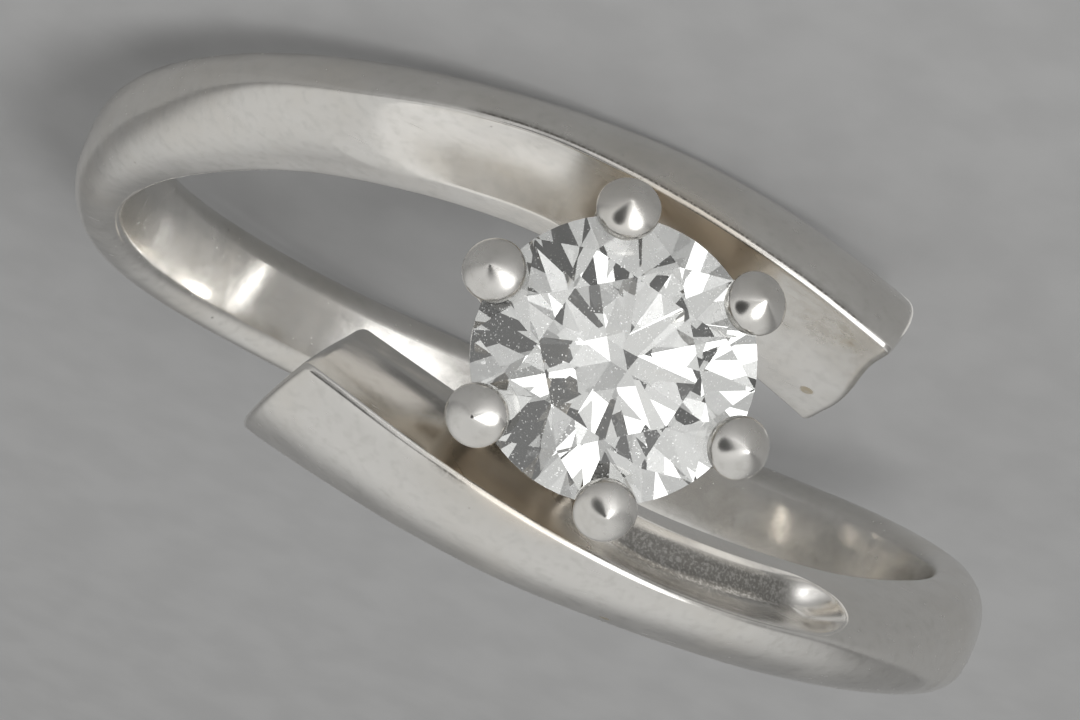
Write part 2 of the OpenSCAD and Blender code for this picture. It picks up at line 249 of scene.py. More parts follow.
def sectionAt(angle, arm):
    # closed outline of the bar as (along the finger, out from the hole's axis), with rounded corners
    value = {column: atAngle(angle, column) for column in band["columns"]}
    half = Vector((between(angle, band["flatWidth"]) / 2, 0))
    edgeIn = Vector((value["edgeY"], holeRadius))
    wallIn = edgeIn + Vector((value["leanIn"], value["wallIn"]))
    crest = Vector((value["crestY"], holeRadius + value["crestH"]))
    wallOut = Vector((value["sideY"], holeRadius + value["wallOut"]))
    edgeOut = wallOut - Vector((value["leanOut"], value["wallOut"]))
    steps = 2 * band["sides"]["innerFace"]
    inner = [innerPoint(wallIn, crest - half, value, angle, arm, k / steps) for k in range(steps + 1)]
    outer = [facePoint(crest + half, wallOut, Vector((wallOut.x, crest.y)), value["fullOut"], k / steps)
             for k in range(steps + 1)]
    # each side's line, in the order of the sides, with the rounding of the corner before it
    sides = (("boreRound", (edgeIn, wallIn)), ("rimRound", inner),
             ("ridgeRound", (crest - half, crest + half)), ("ridgeRound", outer),
             ("sideRound", (wallOut, edgeOut)), ("boreRound", (edgeOut, edgeIn)))
    first, last = band["softFrom"]
    onArm = ease((angle - first) / (last - first))
    rounds = [mix(*band[name], onArm) for name, _ in sides]
    # the two side walls are short, so the rounding above each takes only what it has left
    rounds[1] = min(rounds[1], (wallIn - edgeIn).length - rounds[0] - band["wallLeft"])
    rounds[4] = min(rounds[4], (edgeOut - wallOut).length - rounds[5] - band["wallLeft"])
    short = [cutBack(line, rounds[k], rounds[(k + 1) % len(sides)], count)
             for k, ((_, line), count) in enumerate(zip(sides, band["sides"].values()))]
    points = []
    for k, (_, line) in enumerate(sides):
        before, after = short[k - 1][-1], short[k][0]
        points += [facePoint(before, after, line[0], 1, j / band["cornerSteps"])
                   for j in range(1, band["cornerSteps"])]
        points += short[k]
    return points


def laneParts():
    # for each point of the outline: its side, its share along the side, and whether it is on the rounded
    # corner before that side
    parts = []
    for side, steps in band["sides"].items():
        parts += [(side, j / band["cornerSteps"], True) for j in range(1, band["cornerSteps"])]
        parts += [(side, j / steps, False) for j in range(steps + 1)]
    return parts


def noseAngles(angle):
    # a station's angle for each line of points: near the scoop's nose the station follows it
    low, middle, high = band["noseReach"]
    bend = ease((angle - low) / (middle - low)) * (1 - ease((angle - middle) / (high - middle)))
    shares = [share if side == "innerFace" and not corner else 0 for side, share, corner in laneParts()]
    return [angle + bend * noseLag(share) for share in shares]


def shadeAndDirtAt(lanePart, angle, arm):
    # how dark the painted shade is at a point: dark lines, painted shade with dirt, in the creases of the
    # ridge, and dark bands of painted shade in the scoop
    side, share, corner = lanePart
    runs = []
    if side in arm["creases"] and (corner or share == 0):
        across = 1 - 0.5 * abs(2 * share - 1) if corner else band["creaseBeside"]
        runs.append((arm["creases"][side], across))
    if side == "innerFace" and not corner:
        for run, (first, second, third, last) in arm["shadedBands"]:
            across = ease((share - first) / (second - first)) * (1 - ease((share - third) / (last - third)))
            runs.append((run, across))
    fadeOut = band["creaseEnds"]
    return max((depth * across * ease((angle - low) / fadeOut) * ease((high - angle) / fadeOut)
                for (low, high, depth), across in runs), default=0)


def placed(angle, point):
    # a point of the section at its angle round the finger hole
    turn = math.radians(angle)
    return Vector((-point.y * math.sin(turn), point.x, -point.y * math.cos(turn)))


def endAngles(arm):
    # for each line of points along the arm, the angle at which it meets the end cut
    pivot = Vector((arm["reach"], band["endRidgeY"], holeRadius + band["endRidgeRise"]))
    facing = Vector((1, 0, 0))
    facing.rotate(Matrix.Rotation(math.radians(band["endUndercut"]), 3, "Y"))
    facing.rotate(Matrix.Rotation(math.radians(-arm["skew"]), 3, "Z"))
    angles = []
    first, last = band["swingFrom"]
    for lane in range(len(laneParts())):
        low, high = band["endFrom"]
        for _ in range(band["endHalvings"]):
            middle = (low + high) / 2
            beyond = (placed(middle, sectionAt(middle, arm)[lane]) - pivot).dot(facing) > 0
            low, high = (low, middle) if beyond else (middle, high)
        towardsRim = (band["endRidgeY"] - sectionAt(low, arm)[lane].x) / (band["endRidgeY"] - band["endRimY"])
        bend = ease((towardsRim - first) / (last - first)) - band["swingBack"]
        angles.append(low + arm["swing"] * bend)
    return angles


def armStations(arm):
    # from the foot of the shank to the end cut: the angle of each line of points, and how much of its
    # size the section keeps
    stops = endAngles(arm)
    back = math.degrees(band["endRound"] / (holeRadius + band["endRidgeRise"] / 2))
    start = band["endFrom"][0]
    stations = []
    angle = 0
    while angle < start:
        fine = band["noseFrom"][0] <= angle < band["noseFrom"][1]
        angle = min(angle + (band["noseStep"] if fine else band["degreeStep"]), start)
        stations.append((noseAngles(angle), 1))
    slantSteps = int((sum(stops) / len(stops) - start) / band["degreeStep"])
    for k in range(1, slantSteps + 1):
        stations.append(([mix(start, stop - back, k / slantSteps) for stop in stops], 1))
    for k in range(1, band["endSteps"] + 1):
        turn = math.pi / 2 * k / band["endSteps"]
        stations.append(([stop - back * (1 - math.sin(turn)) for stop in stops],
                         1 - band["endShrink"] * (1 - math.cos(turn))))
    return stations + [(stops, share * (1 - band["endShrink"])) for share in band["capRings"]]


def drawArm(bm, arm):
    # the section at the foot of the shank is extruded from station to station up to the end cut
    lane = bm.verts.layers.int["lane"]
    # each point gets how much painted shade lies on it: dark lines, with dirt, in the creases, and dark bands
    # in the scoop
    shadeAndDirt = bm.verts.layers.float["shadeAndDirt"]
    lanes = laneParts()
    verts = []
    for k, point in enumerate(sectionAt(0, arm)):
        verts.append(bm.verts.new(placed(0, point)))
        verts[-1][lane] = k
    edges = [bm.edges.new((verts[k - 1], verts[k])) for k in range(len(verts))]
    own = set(verts)
    for angles, share in armStations(arm):
        grown = bmesh.ops.extrude_edge_only(bm, edges=edges)["geom"]
        verts = [g for g in grown if isinstance(g, bmesh.types.BMVert)]
        outline = {angle: sectionAt(angle, arm) for angle in set(angles)}
        for v in verts:
            angle = angles[v[lane]]
            v.co = placed(angle, outline[angle][v[lane]])
            v[shadeAndDirt] = shadeAndDirtAt(lanes[v[lane]], angle, arm)
        middle = sum((v.co for v in verts), Vector()) / len(verts)
        for v in verts:
            v.co = middle.lerp(v.co, share)
        new = set(verts)
        own |= new
        edges = [g for g in grown if isinstance(g, bmesh.types.BMEdge) and set(g.verts) <= new]
    bm.faces.new(sorted(verts, key=lambda v: v[lane]))
    return list(own)


def drawBand():
    bm = bmesh.new()
    bm.verts.layers.int.new("lane")
    # each point carries its painted shade, with dirt in the creases
    bm.verts.layers.float.new("shadeAndDirt")
    drawArm(bm, band["arms"][0])
    other = drawArm(bm, band["arms"][1])
    bmesh.ops.rotate(bm, verts=other, matrix=turnZ(180).to_3x3())
    bmesh.ops.remove_doubles(bm, verts=bm.verts, dist=band["seam"])
    bmesh.ops.recalc_face_normals(bm, faces=bm.faces)
    return addObject("shank_and_arms", bm)


# Setting: six ball-tipped claws on a collet, held together by a gallery rail
setting = {
    "girdleRise": 3.6,
    "clawTurns": (45.5, 109, 168),  # the other three are a half turn on
    "tipRadius": 0.59,
    "tipRise": 0.42,            # height of the domed tip above its widest place
    "tipPoint": 0.45,           # how far the dome goes over into a blunt cone
    "tipLean": 22,              # degrees that the dome leans outwards
    "tipOut": 0.12,
    "tipLift": 0.45,
    "clawTop": 0.55,
    "clawFoot": 0.40,
    "footOut": 1.72,
    "colletLift": 0.15,
    "colletHeight": 0.75,
    "colletRadii": (1.25, 2.12),
    "railRadius": 2.05,
    "railWire": 0.3,
    "railDrop": 1.7,
    "steps": 64,
    "wireSteps": 24,
    "spinSteps": 96,
    # the room cut free for the stone: how far it stays clear of it, and its heights from the girdle
    "stoneGap": 0.04,
    "roomFoot": -2.42,
    "roomKnee": -1.83,
    "roomGirdle": 0.12,
    "roomCrown": ((2.1, 0.5), (1.48, 0.92), (1.48, 2)),     # radii and heights above the girdle
}
girdleZ = holeRadius + setting["girdleRise"]


def spinRound(bm, geom):
    # a profile turned all the way round the stone's axis
    bmesh.ops.spin(bm, geom=geom, cent=(0, 0, 0), axis=(0, 0, 1), angle=2 * math.pi,
                   steps=setting["spinSteps"], use_merge=True)


def tipSpot():
    # where a ball sits before its claw is turned to its place
    return Vector((stone["radius"] + setting["tipOut"], 0, girdleZ + setting["tipLift"]))


def drawClaw(bm, turn):
    # a tapered wire from the collet out to its ball
    foot = Vector((setting["footOut"], 0, holeRadius + setting["colletLift"] + setting["colletHeight"] / 2))
    tip = tipSpot()
    lean = Vector((0, 0, 1)).rotation_difference(tip - foot).to_matrix().to_4x4()
    bmesh.ops.create_cone(bm, cap_ends=True, segments=setting["steps"], radius1=setting["clawFoot"],
                          radius2=setting["clawTop"], depth=(tip - foot).length,
                          matrix=turnZ(turn) @ Matrix.Translation((tip + foot) / 2) @ lean)


def drawTip(bm, turn):
    # a ball whose upper half is pressed to a dome with a blunt point
    radius = setting["tipRadius"]
    bmesh.ops.create_uvsphere(bm, u_segments=setting["steps"], v_segments=setting["steps"] // 2,
                              radius=radius)
    for v in bm.verts:
        if v.co.z > 0:
            away = min(v.co.xy.length / radius, 1)
            v.co.z = setting["tipRise"] * mix(math.sqrt(1 - away**2), 1 - away, setting["tipPoint"])
    lean = Matrix.Rotation(math.radians(setting["tipLean"]), 4, "Y")
    bmesh.ops.transform(bm, matrix=turnZ(turn) @ shift(*tipSpot()) @ lean, verts=bm.verts)


def drawRail(bm):
    upright = Matrix.Rotation(math.pi / 2, 4, "X")
    place = shift(setting["railRadius"], 0, girdleZ - setting["railDrop"]) @ upright
    wire = bmesh.ops.create_circle(bm, segments=setting["wireSteps"], radius=setting["railWire"],
                                   matrix=place)["verts"]
    spinRound(bm, wire + list({e for v in wire for e in v.link_edges}))


def drawCollet(bm):
    low = holeRadius + setting["colletLift"]
    high = low + setting["colletHeight"]
    near, far = setting["colletRadii"]
    corners = [bm.verts.new(p) for p in ((near, 0, low), (far, 0, low), (far, 0, high), (near, 0, high))]
    edges = [bm.edges.new((corners[k - 1], corners[k])) for k in range(len(corners))]
    spinRound(bm, corners + edges)


def drawRoom(bm):
    # the room that the stone needs between its claws
    gap = setting["stoneGap"]
    wide = stone["radius"] + gap
    profile = [(0, setting["roomFoot"]), (stone["lowerRadius"] + gap, setting["roomKnee"]),
               (wide, -setting["roomGirdle"]), (wide, setting["roomGirdle"]),
               *setting["roomCrown"], (0, setting["roomCrown"][-1][1])]
    verts = [bm.verts.new((x, 0, girdleZ + rise)) for x, rise in profile]
    edges = [bm.edges.new(pair) for pair in zip(verts, verts[1:])]
    spinRound(bm, verts + edges)
    bmesh.ops.remove_doubles(bm, verts=bm.verts, dist=stone["sameSpot"])


def makePart(name, draw, *details):
    bm = bmesh.new()
    draw(bm, *details)
    bmesh.ops.recalc_face_normals(bm, faces=bm.faces)
    return addObject(name, bm)


def buildHead():
    # claws, rail and collet in one, with the stone's room cut out of them
    room = makePart("room", drawRoom)
    parts = [makePart("rail", drawRail), makePart("collet", drawCollet)]
    for turn in setting["clawTurns"]:
        for side in (0, 180):
            parts.append(makePart(f"claw{turn + side}", drawClaw, turn + side))
            parts.append(makePart(f"tip{turn + side}", drawTip, turn + side))
    head = parts[0]
    combine(head, parts[1:], "UNION")
    combine(head, [room], "DIFFERENCE")
    return head


def combine(target, others, operation):
    # joins the others to the target or cuts them out of it, and takes them away
    group = bpy.data.collections.new("joining")
    for other in others:
        group.objects.link(other)
    cut = target.modifiers.new(operation, "BOOLEAN")
    cut.operation = operation
    cut.operand_type = "COLLECTION"
    cut.collection = group
    cut.solver = "EXACT"
    bakeModifiers(target)
    for other in others:
        bpy.data.objects.remove(other)
    bpy.data.collections.remove(group)


# Stone: a round brilliant, cut facet by facet from a round blank as a cutter does
stone = {
    "radius": 2.6,
    "turn": 12,
    "girdle": 0.14,
    "tableShare": 0.57,
    "crownAngle": 34.5,
    "pavilionAngle": 40.8,
    "lowerRadius": 0.598,       # where the lower halves meet between two mains
    "sides": 64,
    "mains": 8,
    "cutWithin": 1e-5,          # points nearer a facet's plane than this lie on it
    "sameSpot": 0.0005,         # points nearer than this are one
}


def cutFacet(bm, point, facing):
    # one facet: what lies outside the plane through the point is cut away
    cut = bmesh.ops.bisect_plane(bm, geom=bm.verts[:] + bm.edges[:] + bm.faces[:], dist=stone["cutWithin"],
                                 plane_co=point, plane_no=facing, clear_outer=True)
    rim = [g for g in cut["geom_cut"] if isinstance(g, bmesh.types.BMEdge)]
    if len(rim) > 2:
        bmesh.ops.edgenet_fill(bm, edges=rim)


def facetPlane(a, b, c):
    # which way the plane through three points faces, outwards
    facing = (b - a).cross(c - a).normalized()
    return facing if facing.dot(a) > 0 else -facing


def around(radius, degrees, height):
    turn = math.radians(degrees)
    return Vector((radius * math.cos(turn), radius * math.sin(turn), height))


def cutStone():
    # table, pavilion mains and kites first, then the halves of both sides and the stars
    wide = stone["radius"]
    half = 360 / stone["mains"] / 2
    halfCos = math.cos(math.radians(half))
    top, foot = stone["girdle"] / 2, -stone["girdle"] / 2
    crown = math.tan(math.radians(stone["crownAngle"]))
    pavilion = math.tan(math.radians(stone["pavilionAngle"]))
    tableRadius = stone["tableShare"] * wide
    tableZ = top + (wide - tableRadius) * crown
    starRadius = (tableRadius * halfCos + wide) / 2
    starZ = top + (wide - starRadius * halfCos) * crown
    lowerRadius = stone["lowerRadius"]
    lowerZ = foot - (wide - lowerRadius * halfCos) * pavilion
    culet = Vector((0, 0, foot - wide * pavilion))
    bm = bmesh.new()
    bmesh.ops.create_cone(bm, cap_ends=True, segments=stone["sides"], radius1=wide, radius2=wide,
                          depth=3 * wide)
    cutFacet(bm, Vector((0, 0, tableZ)), Vector((0, 0, 1)))
    for k in range(stone["mains"]):
        kite, star = 2 * half * k, 2 * half * k + half
        low = around(lowerRadius, star, lowerZ)
        cutFacet(bm, culet, facetPlane(around(wide, kite, foot), culet, low))
        corner = around(tableRadius, kite, tableZ)
        cutFacet(bm, corner, facetPlane(around(wide, kite, top), corner, around(starRadius, star, starZ)))
    for k in range(stone["mains"]):
        star = 2 * half * k + half
        low = around(lowerRadius, star, lowerZ)
        high = around(starRadius, star, starZ)
        for kite in (star - half, star + half):
            cutFacet(bm, low, facetPlane(low, around(wide, kite, foot), around(wide, star, foot)))
            cutFacet(bm, high, facetPlane(high, around(wide, kite, top), around(wide, star, top)))
        cutFacet(bm, high, facetPlane(high, around(tableRadius, star - half, tableZ),
                                      around(tableRadius, star + half, tableZ)))
    bmesh.ops.remove_doubles(bm, verts=bm.verts, dist=stone["sameSpot"])
    bmesh.ops.recalc_face_normals(bm, faces=bm.faces)
    bmesh.ops.transform(bm, matrix=shift(0, 0, girdleZ) @ turnZ(stone["turn"]), verts=bm.verts)
    return addObject("brilliant", bm, smooth=False)


# Camera: it looks at the stone from above its shoulder, at the photograph's slant
view = {
    "distance": 150,
    "lean": (-5.0, 5.5, -24.0),
    "pixelsPerMm": 55.8,
    "stoneAt": (613.7, 360.2),      # where the middle of the girdle is in a picture of 1080 by 720
    "picture": (1080, 720),
    "sensor": 36,
    "clip": (0.01, 5),              # nearest and farthest, in metres
}


def placeCamera():
    camera = bpy.data.objects.new("camera", bpy.data.cameras.new("camera"))
    bpy.context.scene.collection.objects.link(camera)
    camera.data.sensor_width = view["sensor"]
    camera.data.lens = view["distance"] * view["pixelsPerMm"] * view["sensor"] / view["picture"][0]
    camera.data.clip_start, camera.data.clip_end = view["clip"]
    turn = Matrix.Identity(4)
    for angle, axis in zip(view["lean"], "XYZ"):
        turn = Matrix.Rotation(math.radians(angle), 4, axis) @ turn
    aside = [(view["stoneAt"][k] - view["picture"][k] / 2) / view["pixelsPerMm"] for k in (0, 1)]
    seat = layDown @ shift(0, 0, girdleZ) @ turn.inverted() @ shift(-aside[0], aside[1], view["distance"])
    camera.matrix_world = Matrix.LocRotScale(seat.translation, seat.to_quaternion(), None)
    bpy.context.scene.camera = camera
    return camera


def addNode(tree, kind, at, inputs=None, **settings):
    # a node at its place in the editor; each input gets a value or another node's output
    node = tree.nodes.new(kind)
    node.location = at
    for name, value in settings.items():
        setattr(node, name, value)
    for name, value in (inputs or {}).items():
        if isinstance(value, bpy.types.NodeSocket):
            tree.links.new(value, node.inputs[name])
        else:
            node.inputs[name].default_value = value
    return node


def addRamp(tree, at, factor, stops):
    # a colour ramp of grey values, given as {position: grey}
    ramp = addNode(tree, "ShaderNodeValToRGB", at, {"Fac": factor})
    elements = ramp.color_ramp.elements
    while len(elements) < len(stops):
        elements.new(0.5)
    for element, (position, grey) in zip(elements, sorted(stops.items())):
        element.position = position
        element.color = (grey, grey, grey, 1)
    return ramp.outputs["Color"]


def addNoise(tree, at, where, scale, detail, roughness=0.5):
    node = addNode(tree, "ShaderNodeTexNoise", at,
                   {"Vector": where, "Scale": scale, "Detail": detail, "Roughness": roughness})
    return node.outputs["Fac"]


def newMaterial(name):
    material = bpy.data.materials.new(name)
    material.use_nodes = True
    return material, material.node_tree, material.node_tree.nodes["Principled BSDF"]


def inMillimetres(tree, at):
    # where a point of the surface is in the frame, in millimetres
    place = addNode(tree, "ShaderNodeTexCoord", (at[0] - 200, at[1])).outputs["Object"]
    scaled = addNode(tree, "ShaderNodeMapping", at, {"Vector": place, "Scale": (1 / mm, 1 / mm, 1 / mm)})
    return scaled.outputs["Vector"]


# Studio: a pale floor in a soft light tent that is brightest above and in front
studio = {
    "floorColor": (0.14, 0.14, 0.1385),
    "floorRoughness": 0.9,
    "floorGrain": (700, 350, 700),      # blotches a metre, wider apart away from the camera
    "floorClouds": (0.96, 1.04),        # how dark and how pale they make the floor
    "cloudEdge": (0.3, 0.7),
    "floorSize": 1.2,
    # brightness of the tent, from the side opposite the bright one at 0 to the bright side at 1
    "brightSide": (0.08, -0.25, 1),
    "tent": {0.0: 0.235, 0.4: 0.24, 0.51: 0.245, 0.56: 0.30, 0.64: 0.47, 0.73: 0.60, 0.82: 0.64, 1.0: 0.62},
    "tentTint": (1.0, 1.0, 0.99, 1),
    "frontGlow": 0.16,
    "frontReach": (0.55, 0.9),      # cosines between which the glow round the camera fades in
    # lamps: the side on which each hangs in degrees, how far off and how large it is in metres, and how
    # bright its face looks
    "lamps": {
        "keyLamp": {"azimuth": -29, "elevation": 17, "distance": 0.5, "size": (0.36, 0.36), "glow": 1.25},
    },
    # lamps in front that light the floor alone; the second casts no shadow and so fills the first one's
    "floorLamps": {
        "floorFront": {"azimuth": -18, "elevation": 20, "distance": 1, "size": (0.4, 0.4), "glow": 41},
        "floorFill": {"azimuth": 0, "elevation": 24, "distance": 1, "size": (0.4, 0.4), "glow": 33,
                      "shadow": False},
    },
    # light on the metal alone: what comes back between the arms and into the scoop, and small glints in the
    # bore, given by place in millimetres, side from which each shines, size in millimetres, brightness, colour
    "glints": {
        "underTip": ((2.6, -4.0, 0.3), (0, -90), (3.8, 3.7), 0.29, (1, 0.94, 0.86)),
        "underScoop": ((-6.3, -5.6, 0.3), (0, -90), (3.6, 3.2), 0.30, (1, 0.98, 0.95)),
        "inScoop": ((-4.2, -6.6, 4.8), (0, -90), (4.2, 1.6), 0.15, (1, 0.96, 0.90)),
        "underNose": ((-3.1, -4.1, 0.3), (0, -90), (2.4, 3.2), 0.34, (1, 0.99, 0.97)),
        "overArm": ((3.3, -6.1, 4.6), (172, 62), (5.2, 2.8), 0.18, (1, 0.985, 0.96)),
        "leftSpot": ((5.3, 7.9, 2.05), (-96, -3), (0.24, 0.3), 3.0, (1, 0.99, 0.97)),
        "leftStreak": ((4.0, 8.3, 1.35), (-85, -10), (0.13, 1.5), 2.0, (1, 0.99, 0.97)),
        "leftGlint": ((7.7, 5.3, 2.93), (-153, 9), (0.08, 0.2), 0.7, (1, 0.9, 0.75)),
        "lowGlint": ((6.5, 6.7, 2.07), (-128, -9), (0.08, 0.2), 0.7, (1, 0.9, 0.75)),
        "rightStreak": ((-4.9, 7.6, 1.55), (88, -5), (0.10, 0.8), 1.0, (1, 0.92, 0.80)),
        "rightGlint": ((-6.3, 6.55, 1.5), (111, -10), (0.06, 0.5), 0.7, (1, 0.9, 0.77)),
        "farGlint": ((-7.2, 5.75, 1.5), (125, -13), (0.05, 0.2), 0.5, (1, 0.9, 0.77)),
    },
    # the lens as a disc, in metres: how far beside the camera its middle is, and how far in front of it
    "lens": {"radius": 0.054, "beside": (-0.052, -0.004), "nearer": 0.01, "segments": 48,
             "color": (0.10, 0.10, 0.10, 1), "roughness": 0.6},
}


def layFloor():
    bm = bmesh.new()
    bmesh.ops.create_grid(bm, x_segments=1, y_segments=1, size=studio["floorSize"] / 2)
    floor = plainObject("floor", bm)
    material, tree, shader = newMaterial("floor paper")
    place = addNode(tree, "ShaderNodeTexCoord", (-1300, 0)).outputs["Object"]
    spread = addNode(tree, "ShaderNodeMapping", (-1100, 0), {"Vector": place, "Scale": studio["floorGrain"]})
    clouds = addNoise(tree, (-900, 0), spread.outputs["Vector"], 1, 3.0)
    paler = fade(tree, (-700, 0), clouds, *studio["cloudEdge"], *studio["floorClouds"])
    pale = addNode(tree, "ShaderNodeVectorMath", (-400, 0), {0: studio["floorColor"], "Scale": paler},
                   operation="SCALE")
    tree.links.new(pale.outputs["Vector"], shader.inputs["Base Color"])
    shader.inputs["Roughness"].default_value = studio["floorRoughness"]
    floor.data.materials.append(material)
    return floor


def pitchTent(camera):
    world = bpy.data.worlds.new("light tent")
    world.use_nodes = True
    tree = world.node_tree
    way = addNode(tree, "ShaderNodeTexCoord", (-1300, 0)).outputs["Generated"]
    side = Vector(studio["brightSide"]).normalized()
    toBright = addNode(tree, "ShaderNodeVectorMath", (-1000, 0), {0: way, 1: side}, operation="DOT_PRODUCT")
    share = addNode(tree, "ShaderNodeMapRange", (-700, 0),
                    {"Value": toBright.outputs["Value"], "From Min": -1, "From Max": 1})
    glow = addRamp(tree, (-400, 0), share.outputs["Result"], studio["tent"])
    front = camera.matrix_world.translation.normalized()
    toFront = addNode(tree, "ShaderNodeVectorMath", (-1000, -300), {0: way, 1: front},
                      operation="DOT_PRODUCT")
    extra = fade(tree, (-700, -300), toFront.outputs["Value"], *studio["frontReach"],
                 0, studio["frontGlow"])
    sky = tree.nodes["Background"]
    sky.inputs["Color"].default_value = studio["tentTint"]
    tree.links.new(math2(tree, (-100, 0), "ADD", glow, extra), sky.inputs["Strength"])
    bpy.context.scene.world = world


def hangLamp(name, lamp):
    width, height = lamp["size"]
    data = bpy.data.lights.new(name, "AREA")
    data.shape = "ELLIPSE"
    data.size, data.size_y = width, height
    data.energy = lamp["glow"] * math.pi * width * height     # watts for a face that bright
    data.color = lamp.get("color", (1, 1, 1))
    data.use_shadow = lamp.get("shadow", True)
    azimuth, elevation = math.radians(lamp["azimuth"]), math.radians(lamp["elevation"])
    way = Vector((math.sin(azimuth) * math.cos(elevation), -math.cos(azimuth) * math.cos(elevation),
                  math.sin(elevation)))
    obj = bpy.data.objects.new(name, data)
    obj.location = lamp.get("at", way * lamp.get("distance", 0))
    obj.rotation_euler = way.to_track_quat("Z", "Y").to_euler()
    bpy.context.scene.collection.objects.link(obj)
    return obj


def lightOnly(name, target, lamps):
    # these lamps light one object and nothing else
    receivers = bpy.data.collections.new(name)
    receivers.objects.link(target)
    for lamp in lamps:
        lamp.light_linking.receiver_collection = receivers
        lamp.visible_camera = False


def hangLamps(floor, ring):
    for name, lamp in studio["lamps"].items():
        hangLamp(name, lamp)
    lightOnly("floor only", floor, [hangLamp(name, lamp) for name, lamp in studio["floorLamps"].items()])
    glints = []
    for name, (at, side, size, glow, color) in studio["glints"].items():
        glints.append(hangLamp(name, {"at": Vector(at) * mm, "azimuth": side[0], "elevation": side[1],
                                      "size": (size[0] * mm, size[1] * mm), "glow": glow, "color": color}))
    lightOnly("metal only", ring, glints)


def holdLens(camera):
    # the dark front of the lens, which the polished metal and the stone reflect
    lens = studio["lens"]
    bm = bmesh.new()
    bmesh.ops.create_circle(bm, cap_ends=True, segments=lens["segments"], radius=lens["radius"])
    place = camera.matrix_world @ shift(*lens["beside"], -lens["nearer"])
    bmesh.ops.transform(bm, matrix=place, verts=bm.verts)
    disc = plainObject("lens", bm)
    disc.visible_camera = False
    disc.visible_shadow = False
    disc.visible_diffuse = False
    material, _, shader = newMaterial("lens black")
    shader.inputs["Base Color"].default_value = lens["color"]
    shader.inputs["Roughness"].default_value = lens["roughness"]
    disc.data.materials.append(material)


# Finishes: groups for scratches, specks and stains, and the two materials that use them
def makeGroup(name, inputs):
    # a node group that makes a mask from its inputs, which are {name: (socket kind, value)}
    group = bpy.data.node_groups.new(name, "ShaderNodeTree")
    for label, (kind, value) in inputs.items():
        socket = group.interface.new_socket(label, in_out="INPUT", socket_type="NodeSocket" + kind)
        if value is not None:
            socket.default_value = value
    group.interface.new_socket("Mask", in_out="OUTPUT", socket_type="NodeSocketFloat")
    start = group.nodes.new("NodeGroupInput")
    start.location = (-1200, 0)
    end = group.nodes.new("NodeGroupOutput")
    end.location = (600, 0)
    return group, start.outputs, end.inputs["Mask"]


def math2(tree, at, operation, a, b):
    return addNode(tree, "ShaderNodeMath", at, {0: a, 1: b}, operation=operation).outputs["Value"]


def fade(tree, at, value, low, high, toLow, toHigh):
    # a smooth change from one value to another
    node = addNode(tree, "ShaderNodeMapRange", at,
                   {"Value": value, "From Min": low, "From Max": high, "To Min": toLow, "To Max": toHigh},
                   interpolation_type="SMOOTHSTEP")
    return node.outputs["Result"]


def scratchGroup():
    # thin lines, all one way, in random places
    group, given, made = makeGroup("fine scratches", {
        "Vector": ("Vector", None), "Turn": ("Vector", (0, 0, 0)), "Grid": ("Vector", (1, 1, 1)),
        "Width": ("Float", 0.06), "Share": ("Float", 0.5)})
    laid = addNode(group, "ShaderNodeMapping", (-900, 0),
                   {"Vector": given["Vector"], "Rotation": given["Turn"], "Scale": given["Grid"]})
    cells = addNode(group, "ShaderNodeTexVoronoi", (-600, 0), {"Vector": laid.outputs["Vector"], "Scale": 1})
    line = fade(group, (-300, 100), cells.outputs["Distance"], 0, given["Width"], 1, 0)
    tone = addNode(group, "ShaderNodeSeparateColor", (-400, -200), {"Color": cells.outputs["Color"]})
    kept = math2(group, (-200, -200), "LESS_THAN", tone.outputs["Red"], given["Share"])
    depth = math2(group, (0, -100), "MULTIPLY", tone.outputs["Green"], kept)
    group.links.new(math2(group, (200, 0), "MULTIPLY", line, depth), made)
    return group


def speckGroup():
    # small round specks in random places, such as dust and pits
    group, given, made = makeGroup("specks", {
        "Vector": ("Vector", None), "Scale": ("Float", 4), "Size": ("Float", 0.1), "Share": ("Float", 0.3)})
    cells = addNode(group, "ShaderNodeTexVoronoi", (-700, 0),
                    {"Vector": given["Vector"], "Scale": given["Scale"]})
    tone = addNode(group, "ShaderNodeSeparateColor", (-500, -200), {"Color": cells.outputs["Color"]})
    size = math2(group, (-300, -100), "MULTIPLY", tone.outputs["Green"], given["Size"])
    spot = fade(group, (-100, 100), cells.outputs["Distance"], 0, size, 1, 0)
    kept = math2(group, (-200, -300), "LESS_THAN", tone.outputs["Red"], given["Share"])
    group.links.new(math2(group, (200, 0), "MULTIPLY", spot, kept), made)
    return group


def stainGroup():
    # one ragged round mark at a place
    group, given, made = makeGroup("stain", {
        "Vector": ("Vector", None), "Centre": ("Vector", (0, 0, 0)), "Radius": ("Float", 0.1),
        "Ragged": ("Float", 0.5), "Grain": ("Float", 8), "Core": ("Float", 0.35)})
    gap = addNode(group, "ShaderNodeVectorMath", (-900, 0), {0: given["Vector"], 1: given["Centre"]},
                  operation="DISTANCE")
    noise = addNoise(group, (-900, -250), given["Vector"], given["Grain"], 3.0)
    swing = math2(group, (-700, -250), "SUBTRACT", noise, 0.5)
    pulled = math2(group, (-500, -200), "MULTIPLY", swing, given["Ragged"])
    share = math2(group, (-500, 0), "DIVIDE", gap.outputs["Value"], given["Radius"])
    edge = math2(group, (-300, 0), "ADD", share, pulled)
    group.links.new(fade(group, (0, 0), edge, given["Core"], 1.0, 1, 0), made)
    return group


def placeGroup(tree, group, at, inputs):
    return addNode(tree, "ShaderNodeGroup", at, inputs, node_tree=group).outputs["Mask"]


def tint(tree, at, share, base, over):
    # one colour laid over another as far as the share says
    node = addNode(tree, "ShaderNodeMix", at, {0: share, 6: base, 7: over}, data_type="RGBA")
    return node.outputs[2]


